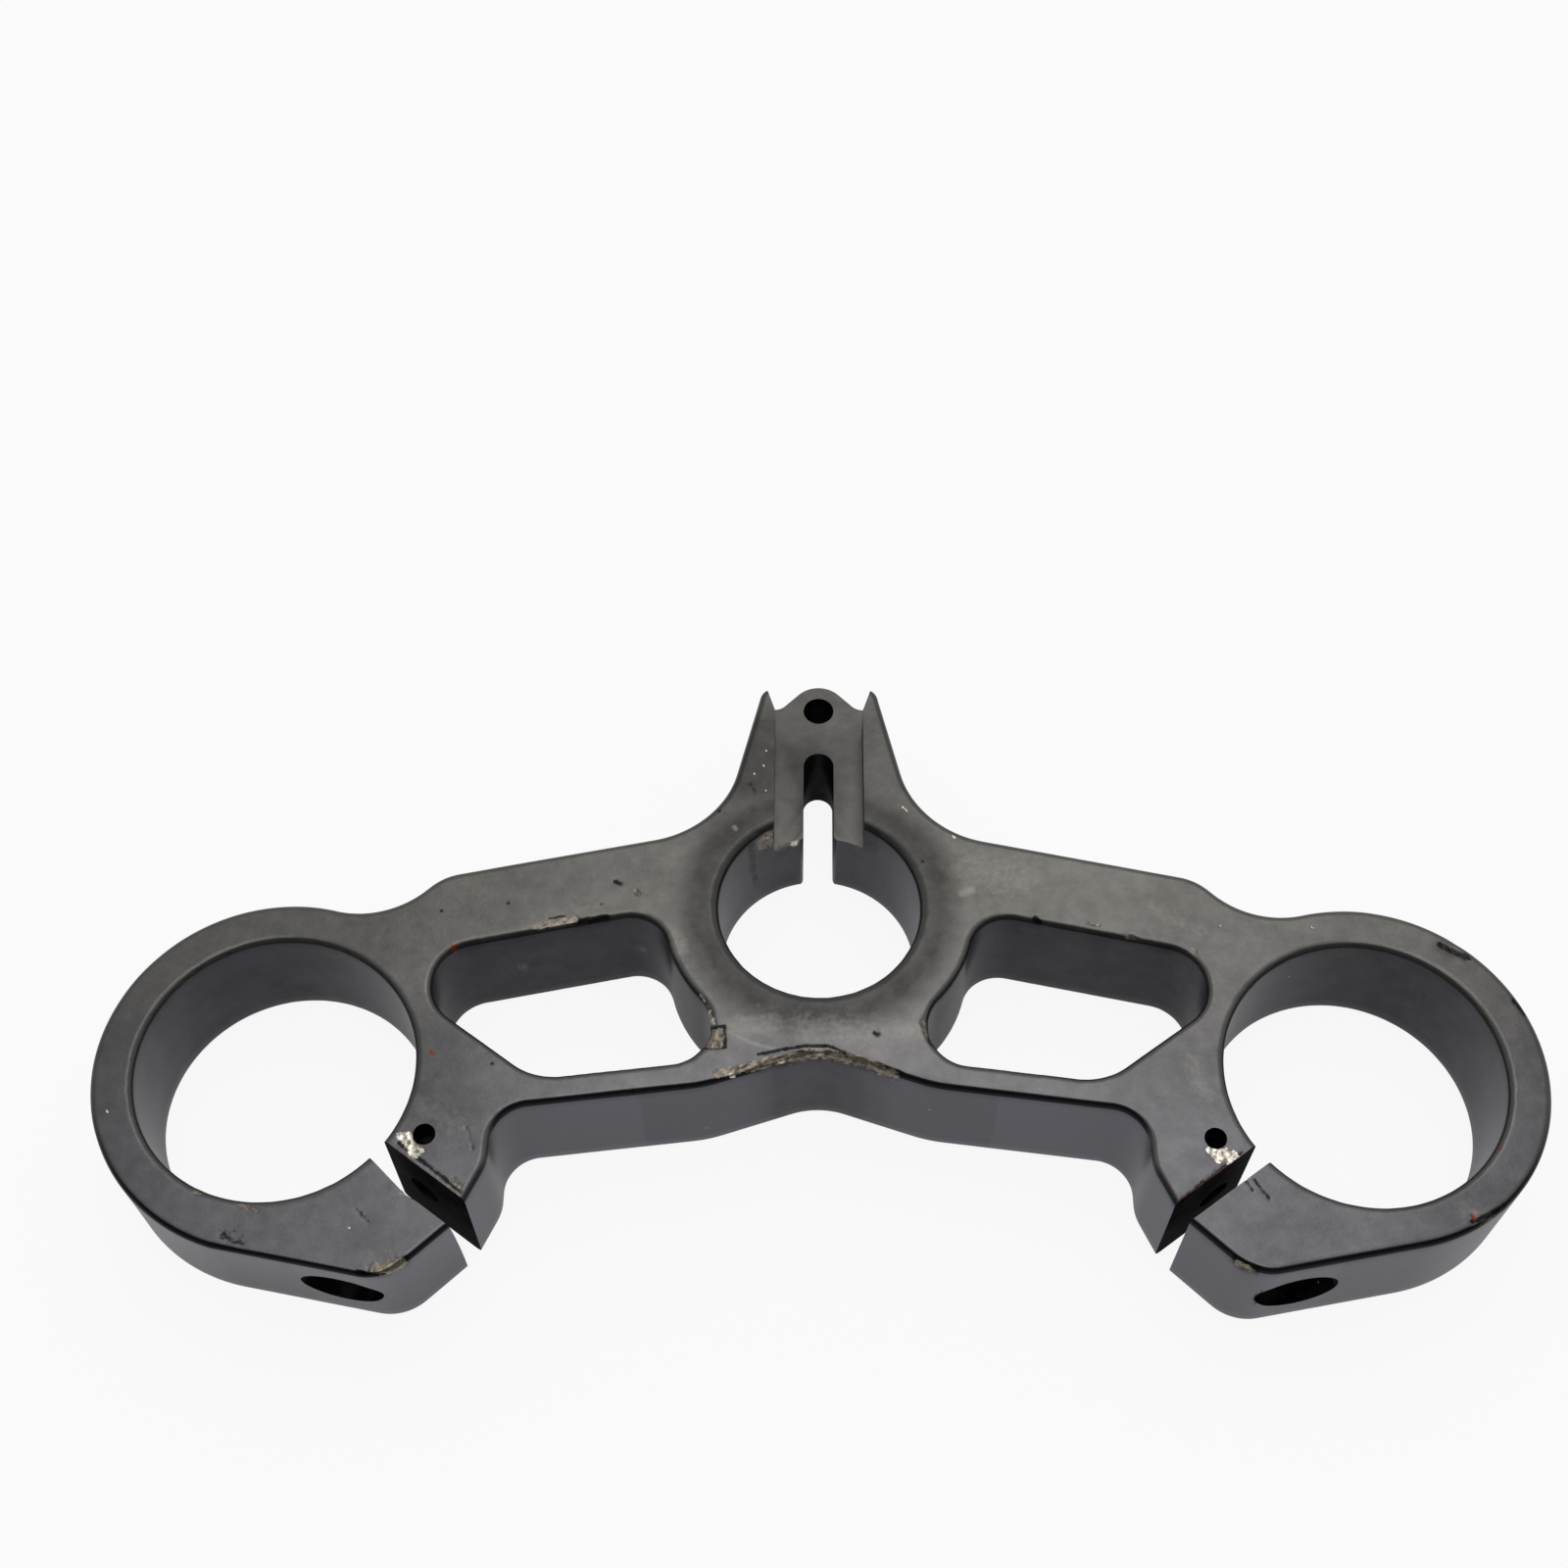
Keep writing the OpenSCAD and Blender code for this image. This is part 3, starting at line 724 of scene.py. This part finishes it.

# %% [markdown]
# ## Grime, painted shade and wear as attributes
#
# A finish that changes from place to place can follow numbers stored on the
# mesh. Grime and painted shade change at once where a hole's wall meets the top,
# and a mark on the top stops at a sharp edge, so all of them go on the face
# corners, where each side of an edge has its own value. The insides are darkened
# with painted shade, where real light would be shaded, and a little grime. The
# tops are nearly clean; they are darker round the stem and on the webs, and
# carry painted shade on the tail and at the rings' far ends.

# %% Marks on the corners
def lay(name, values):
    """Keep one number for each face corner as a named attribute."""
    made = clamp.data.attributes.new(name, "FLOAT", "CORNER")
    made.data.foreach_set("value", values.astype(np.float32))


co = point_values("co") * 1000
corner_point = np.zeros(len(clamp.data.loops), np.int32)
clamp.data.loops.foreach_get("vertex_index", corner_point)
sides_of = np.zeros(len(clamp.data.polygons), np.int32)
clamp.data.polygons.foreach_get("loop_total", sides_of)
face_out = np.zeros(len(clamp.data.polygons) * 3, np.float32)
clamp.data.polygons.foreach_get("normal", face_out)
face_out = np.repeat(face_out.reshape(-1, 3), sides_of, axis=0)
# where each corner is; the walls are told apart on the right half, with the
# left half mirrored onto it
at_x, at_y, at_z = co[corner_point].T
side_x = np.abs(at_x)
side_xy = np.stack([side_x, at_y], 1)
stem_gap, fork_gap = np.hypot(side_x, at_y), np.hypot(*(side_xy - fork).T)
pin_gap, tail_gap = np.hypot(*(side_xy - pin_at).T), np.hypot(*(side_xy - tail_hole).T)
down_slit, off_slit = (side_xy - fork) @ along, (side_xy - fork) @ across - slit_shift
wall_face = np.abs(face_out[:, 2]) < 0.8
across_out = face_out[:, 0] * np.sign(at_x) * across[0] + face_out[:, 1] * across[1]
in_slit = (wall_face & (np.abs(off_slit) < slit_w / 2 + 0.4) & (down_slit > fork_r - 1)
           & (np.abs(across_out) > 0.8))
# the slits and the channel's floor have no marks of their own
unmarked = in_slit | ((face_out[:, 2] > 0.8) & (at_z < 20))
for kind, rows in marks.items():
    lay(kind, mark_depth(co, rows)[corner_point] * ~unmarked)

# %% Grime on the corners
# darker patches on the tops, each as its darkness and its extent; those on the
# tail and at the rings' far ends are painted shade. The tail's is darker to
# the left and on the channel's floor
tail_tone = 0.52 - 0.014 * np.clip(at_x, -4, 14) + 0.06 * (at_z < 20)
stains_and_shade = (
    # round the stem, and on the tail
    (0.58, step_up(stem_gap, 29.5, 25) * step_up(stem_gap, 19, 22)),
    (tail_tone, step_up(at_y, 14, 27) * (1 - 0.5 * step_up(at_y, 42, 48))),
    # the webs beside the left and the right ring, and the left arm's back
    (0.26, step_up(at_x, -60, -70) * step_up(at_y, -16, -26) * step_up(at_y, -56, -44)),
    (0.1, step_up(at_x, 50, 60) * step_up(at_y, -24, -32) * step_up(at_y, -50, -42)),
    (0.12, step_up(at_x, -45, -62) * step_up(at_y, -20, -10)),
    # the right ring's front, and the far ends of both rings, where the shade is painted
    (0.18, step_up(at_x, 100, 112) * step_up(at_y, -50, -58)),
    (0.30, step_up(at_x, -112, -136)),
    (0.28, step_up(at_x, 118, 136)))
grime = np.zeros(len(at_x))
for darkness, extent in stains_and_shade:
    grime = np.maximum(grime, darkness * extent * ~wall_face)
# the outer walls: a little painted shade, and more under the nose, in the shaded bay between the lugs
grime = np.maximum(grime, 0.27 * wall_face)
grime = np.maximum(grime, 0.56 * wall_face * step_up(side_x, 22, 8) * (at_y < -20))
# the insides: a lot of painted shade, with some grime. Where two of these places overlap, the later
# one counts
bolt_r = np.where(off_slit > 0, head_r + 0.05, thread_r + 0.1)
in_bolt = ((np.hypot(down_slit - fork_r - bolt_out, at_z - mid) < bolt_r)
           & (np.abs(off_slit) < 25) & (np.abs(across_out) < 0.8))
floor_z = thick - channel_d
insides = (
    # the lugs' outer walls, which get little painted shade, and the windows
    (wall_face & (down_slit > fork_r + 2) & (at_y < -40), 0.1),
    (wall_face & ~clear_of(side_xy, [window], 0.62), 0.62),
    # the fork bores, with more painted shade where they face the front, and the stem bore
    (wall_face & (fork_gap < fork_r + 0.3), 0.44 + 0.17 * np.clip(-face_out[:, 1], 0, 1)),
    (wall_face & (stem_gap < stem_r + 0.3), 0.54),
    # the slits, the slot and the channel's sides
    (in_slit, 0.94),
    (wall_face & (side_x < slot_w / 2 + 0.05) & (stem_gap > stem_r) & (at_y > 0), 0.85),
    (wall_face & (side_x < half_w + 3) & (side_x > half_w - 0.3) & (at_y > 15)
     & (at_z > floor_z - 0.1), 0.6),
    # the holes of the pinch bolts, of the pins and of the tail
    (in_bolt & (fork_gap > fork_r + 0.3), 0.95),
    ((at_z > 15) & (at_z < thick - 0.5) & (pin_gap < pin_r + 0.1), 0.97),
    (wall_face & (tail_gap < tail_r + 0.1), 0.9))
for here, darkness in insides:
    # the darkness given to the insides is mostly painted shade, with some grime
    grime = np.where(here, darkness, grime)
lay("grime", grime)
# the band along the plate's own outline, where the rounds that face the front get a painted dark shade
lay("outer_edge", ~clear_of(co[:, :2], [outline], 2.6)[corner_point])
print("grime mean %.2f" % grime.mean())

# %% [markdown]
# ## The finish
#
# Anodised aluminium keeps the metal's machined satin but takes a dye, here a
# dark grey. Light passes the thin oxide and comes back from the metal
# below it, so the coat is shaded as a dark satin metal with a soft wide gleam.
# Wear shows on it as paler cloudy rubbing on the flats and bare bright metal
# where the coat is gone. In the hollows, grime and painted shade lower
# Metallic, so they give hardly any light back.

# %% Colours and a node helper
def linear(hex_colour):
    """An sRGB hex colour as linear RGBA."""
    c = np.array([int(hex_colour[i:i + 2], 16) for i in (1, 3, 5)]) / 255
    c = np.where(c <= 0.04045, c / 12.92, ((c + 0.055) / 1.055) ** 2.4)
    return (*c.tolist(), 1.0)


def node(tree, kind, links=None, **settings):
    """Adds one node. Settings name its properties or its input sockets, and
    links gives the sockets that other nodes feed."""
    n = tree.nodes.new(kind)
    for key, value in settings.items():
        if key in n.inputs:
            n.inputs[key].default_value = value
        elif key.startswith("in") and key[2:].isdigit():
            n.inputs[int(key[2:])].default_value = value
        else:
            setattr(n, key, value)
    for key, out in (links or {}).items():
        tree.links.new(out, n.inputs[key])
    return n


mat = bpy.data.materials.new("dark_anodised_aluminium")
mat.use_nodes = True
tree = mat.node_tree
tree.nodes.clear()
where = node(tree, "ShaderNodeTexCoord").outputs["Object"]
# noises over the coat. Scale is in cells a metre, so that 38 makes clouds of
# about 26 mm. The grain of a blasted coat is finer than 0.1 mm and wouldn't
# show in the render, so it is drawn 0.7 mm coarse
noise = {}
for name, scale, detail, roughness in (
        ("cloud", 38.0, 5.0, 0.6),      # 26 mm, hands and rags
        ("stain", 150.0, 6.0, 0.65),    # 7 mm, smears of grease
        ("mottle", 330.0, 5.0, 0.7),    # 3 mm, the dye's uneven take
        ("ragged", 900.0, 4.0, 0.7),    # 1.1 mm, the borders of the marks
        ("speck", 1100.0, 4.0, 0.6),    # 0.9 mm, torn metal
        ("grain", 1400.0, 3.0, 0.6)):   # 0.7 mm, the blasted surface
    made = node(tree, "ShaderNodeTexNoise", {"Vector": where}, Scale=scale, Detail=detail,
                Roughness=roughness)
    noise[name] = made.outputs["Fac"]
patches = node(tree, "ShaderNodeMath", {0: noise["cloud"], 1: noise["mottle"]}, operation="ADD")
patches = node(tree, "ShaderNodeMath", {0: patches.outputs[0]}, operation="MULTIPLY", in1=0.5)
# colours that follow a noise from one stop to the next: the dyed coat, torn
# bare metal, and metal under old dirt
ramps = {}
for name, driver, stops in (
        ("coat", patches.outputs[0], ((0.36, "#5e5d60"), (0.64, "#737275"))),
        ("metal", noise["speck"], ((0.40, "#857a68"), (0.62, "#f3eee5"))),
        ("scraped", noise["speck"], ((0.36, "#5d564d"), (0.66, "#978e80")))):
    made = node(tree, "ShaderNodeValToRGB", {"Fac": driver})
    for element, (position, colour) in zip(made.color_ramp.elements, stops):
        element.position, element.color = position, linear(colour)
    ramps[name] = made.outputs["Color"]
# the coat is a little warmer towards the back than at the front
depth_y = node(tree, "ShaderNodeSeparateXYZ", {"Vector": where}).outputs["Y"]
to_back = node(tree, "ShaderNodeMapRange", {"Value": depth_y}, in1=-0.055, in2=0.0)
dyed = node(tree, "ShaderNodeMix", {"Factor": to_back.outputs["Result"], 6: ramps["coat"]},
            data_type="RGBA", blend_type="MULTIPLY", in7=linear("#fffdee"))
# which way the surface faces: the flats, the walls, and the rounds between
# them; the rounds of the outline that face the front are painted near black,
# a painted shade band
normal_now = node(tree, "ShaderNodeNewGeometry").outputs["Normal"]
facing = node(tree, "ShaderNodeSeparateXYZ", {"Vector": normal_now})
flat_top = node(tree, "ShaderNodeMapRange", {"Value": facing.outputs["Z"]}, in1=0.90, in2=0.985)
upright = node(tree, "ShaderNodeMapRange", {"Value": facing.outputs["Z"]}, in1=0.22, in2=0.02)
frontal = node(tree, "ShaderNodeMapRange", {"Value": facing.outputs["Y"]}, in1=-0.12, in2=-0.40)
on_outer = node(tree, "ShaderNodeAttribute", attribute_name="outer_edge")
front_round_shade = node(tree, "ShaderNodeMath", {0: frontal.outputs["Result"], 1: on_outer.outputs["Fac"]},
             operation="MULTIPLY")
# painted shade: where a round of the outline faces the front, its colour goes towards near black
round_tone_and_shade = node(tree, "ShaderNodeMix", {"Factor": front_round_shade.outputs[0]}, data_type="RGBA",
                  in6=linear("#605f5e"), in7=linear("#262528"))
sides = node(tree, "ShaderNodeMix", {"Factor": upright.outputs["Result"], 6: round_tone_and_shade.outputs[2]},
             data_type="RGBA", in7=linear("#605e67"))
tone = node(tree, "ShaderNodeMix", {"Factor": flat_top.outputs["Result"], 6: sides.outputs[2],
                                    7: dyed.outputs[2]}, data_type="RGBA")
# grime and painted shade darken; a cloudy noise keeps it from looking sprayed on
uneven = node(tree, "ShaderNodeMapRange", {"Value": noise["stain"]},
              in1=0.3, in2=0.7, in3=0.78, in4=1.16)
grime_and_shade_here = node(tree, "ShaderNodeAttribute", attribute_name="grime")
dirt_and_shade = node(tree, "ShaderNodeMath", {0: grime_and_shade_here.outputs["Fac"], 1: uneven.outputs["Result"]},
             operation="MULTIPLY", use_clamp=True)
# grime and painted shade both take the colour towards near black here
tone = node(tree, "ShaderNodeMix", {"Factor": dirt_and_shade.outputs[0], 6: tone.outputs[2]},
            data_type="RGBA", in7=linear("#060607"))
# every mark has a ragged border: a fine noise is added to its depth, and its
# colour comes in between a low and a high depth, up to its greatest share
fray = node(tree, "ShaderNodeMapRange", {"Value": noise["ragged"]},
            in1=0.3, in2=0.7, in3=-0.38, in4=0.38)
for kind, low, high, most, colour in (
        ("rub", 0.2, 1.3, 0.6, "#87857f"), ("dark", 0.36, 0.8, 0.85, "#131212"),
        ("tan", 0.42, 0.58, 0.95, "scraped"), ("rust", 0.4, 0.7, 0.9, "#7c3a22"),
        ("bare", 0.42, 0.56, 1.0, "metal")):
    depth = node(tree, "ShaderNodeAttribute", attribute_name=kind).outputs["Fac"]
    frayed = node(tree, "ShaderNodeMath", {0: depth, 1: fray.outputs["Result"]}, operation="ADD")
    present = node(tree, "ShaderNodeMath", {0: depth}, operation="GREATER_THAN", in1=0.02)
    comes_in = node(tree, "ShaderNodeMapRange", {"Value": frayed.outputs[0]},
                    in1=low, in2=high, in4=most)
    mask = node(tree, "ShaderNodeMath", {0: comes_in.outputs["Result"], 1: present.outputs[0]},
                operation="MULTIPLY")
    links = {"Factor": mask.outputs[0], 6: tone.outputs[2]}
    if colour in ramps:
        tone = node(tree, "ShaderNodeMix", {**links, 7: ramps[colour]}, data_type="RGBA")
    else:
        tone = node(tree, "ShaderNodeMix", links, data_type="RGBA", in7=linear(colour))
# rare dots, each in its own cell: pale dust about 0.4 mm across in cells of
# 7 mm, then dark pits of about 0.7 mm in cells of 11 mm. A dot fades between
# two distances, and a cell has one only where its own random number is high
for scale, border, core, channel_of, above, colour in (
        (140.0, 0.038, 0.02, 0, 0.78, "#a8a5a0"), (90.0, 0.045, 0.02, 1, 0.6, "#2b2a29")):
    cells = node(tree, "ShaderNodeTexVoronoi", {"Vector": where}, Scale=scale)
    dot = node(tree, "ShaderNodeMapRange", {"Value": cells.outputs["Distance"]},
               in1=border, in2=core)
    few = node(tree, "ShaderNodeSeparateColor", {"Color": cells.outputs["Color"]})
    chosen = node(tree, "ShaderNodeMath", {0: few.outputs[channel_of]},
                  operation="GREATER_THAN", in1=above)
    dots = node(tree, "ShaderNodeMath", {0: dot.outputs["Result"], 1: chosen.outputs[0]},
                operation="MULTIPLY")
    tone = node(tree, "ShaderNodeMix", {"Factor": dots.outputs[0], 6: tone.outputs[2]},
                data_type="RGBA", in7=linear(colour))
# where grime and painted shade are deep, Metallic drops, so the hollows give little light back and
# read as shaded.
# The last mask of the loop above, bare metal, is smoother than the coat
metallic_under_grime_and_shade = node(tree, "ShaderNodeMapRange", {"Value": grime_and_shade_here.outputs["Fac"]},
              in1=0.5, in2=0.95, in3=1.0, in4=0.06)
bare_rough = node(tree, "ShaderNodeMapRange", {"Value": mask.outputs[0]}, in3=0.36, in4=0.28)
bump = node(tree, "ShaderNodeBump", {"Height": noise["grain"]}, Strength=0.25, Distance=0.0001)
skin = node(tree, "ShaderNodeBsdfPrincipled",
            {"Base Color": tone.outputs[2], "Normal": bump.outputs["Normal"],
             "Roughness": bare_rough.outputs["Result"], "Metallic": metallic_under_grime_and_shade.outputs["Result"]},
            **{"Specular IOR Level": 0.0})
node(tree, "ShaderNodeOutputMaterial", {"Surface": skin.outputs["BSDF"]})
clamp.data.materials.clear()
clamp.data.materials.append(mat)

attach(clamp, "root")
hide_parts("triple_clamp")

# %% [markdown]
# ## Floor, light and world
#
# The photograph has a plain white ground and soft light from above and behind.
# A large floor carries the white and a faint shadow. Most of the light comes
# from the world, bright above and behind and dim towards the front, so that
# the rounded front edges read dark as they do in the photograph. Two wide,
# weak lamps give the flats their gleam.

# %% Floor and lamps
floor_mesh = bpy.data.meshes.new("floor")
# half the sheet's side, and how far it lies below the clamp, in metres
half_sheet, drop = 6, -0.0004
floor_mesh.from_pydata([(-half_sheet, -half_sheet, drop), (half_sheet, -half_sheet, drop),
                        (half_sheet, half_sheet, drop), (-half_sheet, half_sheet, drop)],
                       [], [(0, 1, 2, 3)])
floor = bpy.data.objects.new("floor", floor_mesh)
scene.collection.objects.link(floor)
paper = bpy.data.materials.new("white_paper")
paper.use_nodes = True
tree = paper.node_tree
tree.nodes.clear()
# the sheet glows nearly white for the camera and half as much in reflections,
# and is plain white paper for all other light
path = node(tree, "ShaderNodeLightPath")
straight = node(tree, "ShaderNodeMath", {0: path.outputs["Is Camera Ray"],
                                         1: path.outputs["Is Transmission Ray"]},
                operation="MAXIMUM")
straight = node(tree, "ShaderNodeMath", {0: straight.outputs[0]}, operation="MULTIPLY", in1=0.9)
mirrored_in = node(tree, "ShaderNodeMath", {0: path.outputs["Is Glossy Ray"]},
                   operation="MULTIPLY", in1=0.45)
share = node(tree, "ShaderNodeMath", {0: straight.outputs[0], 1: mirrored_in.outputs[0]},
             operation="MAXIMUM")
matt = node(tree, "ShaderNodeBsdfDiffuse", Color=(0.9, 0.9, 0.9, 1))
glow = node(tree, "ShaderNodeEmission", Color=(1, 1, 1, 1), Strength=1.0)
both = node(tree, "ShaderNodeMixShader", {0: share.outputs[0], 1: matt.outputs[0], 2: glow.outputs[0]})
# seen from below the sheet is clear, so that the underside can be looked at
below = node(tree, "ShaderNodeNewGeometry").outputs["Backfacing"]
clear = node(tree, "ShaderNodeBsdfTransparent")
sheet = node(tree, "ShaderNodeMixShader", {0: below, 1: both.outputs[0], 2: clear.outputs[0]})
node(tree, "ShaderNodeOutputMaterial", {"Surface": sheet.outputs[0]})
floor_mesh.materials.append(paper)


def lamp(name, place_m, aim, size, watts):
    """A soft square lamp that looks at a point."""
    data = bpy.data.lights.new(name, "AREA")
    data.shape, data.size, data.energy = "SQUARE", size, watts
    obj = bpy.data.objects.new(name, data)
    look = np.array(place_m, float) - np.array(aim, float)
    look /= np.linalg.norm(look)
    side = np.cross([0, 0, 1.0], look) if abs(look[2]) < 0.999 else np.array([1.0, 0, 0])
    side /= np.linalg.norm(side)
    m = np.eye(4)
    m[:3, 0], m[:3, 1], m[:3, 2], m[:3, 3] = side, np.cross(look, side), look, place_m
    obj.matrix_world = Matrix(m.tolist())
    scene.collection.objects.link(obj)
    return obj


lamp("overhead", (0.0, -0.35, 2.0), (0, 0, 0), 0.9, 5)
lamp("back_right", (0.16, 0.82, 1.9), (0, 0, 0), 0.9, 4)
world = bpy.data.worlds.new("studio")
scene.world = world
world.use_nodes = True
tree = world.node_tree
tree.nodes.clear()
# the sky is bright towards this direction, behind and above, and dim opposite
way = node(tree, "ShaderNodeTexCoord").outputs["Generated"]
behind = node(tree, "ShaderNodeVectorMath", {0: way}, operation="DOT_PRODUCT",
              in1=(0.05, 0.80, 0.60))
lit = node(tree, "ShaderNodeMapRange", {"Value": behind.outputs["Value"]},
           interpolation_type="SMOOTHSTEP", in1=0.0, in2=0.5, in3=0.16, in4=0.62)
# near the horizon it is as white as the sheet, which ends there
height = node(tree, "ShaderNodeSeparateXYZ", {"Vector": way})
low_band = node(tree, "ShaderNodeMapRange", {"Value": height.outputs["Z"]},
                interpolation_type="SMOOTHSTEP", in1=0.15, in2=0.08, in3=0.0, in4=0.95)
light = node(tree, "ShaderNodeMath", {0: lit.outputs["Result"], 1: low_band.outputs["Result"]},
             operation="MAXIMUM")
sky = node(tree, "ShaderNodeBackground", {"Strength": light.outputs[0]}, Color=(1, 1, 1, 1))
node(tree, "ShaderNodeOutputWorld", {"Surface": sky.outputs[0]})

scene.view_settings.view_transform = "Standard"
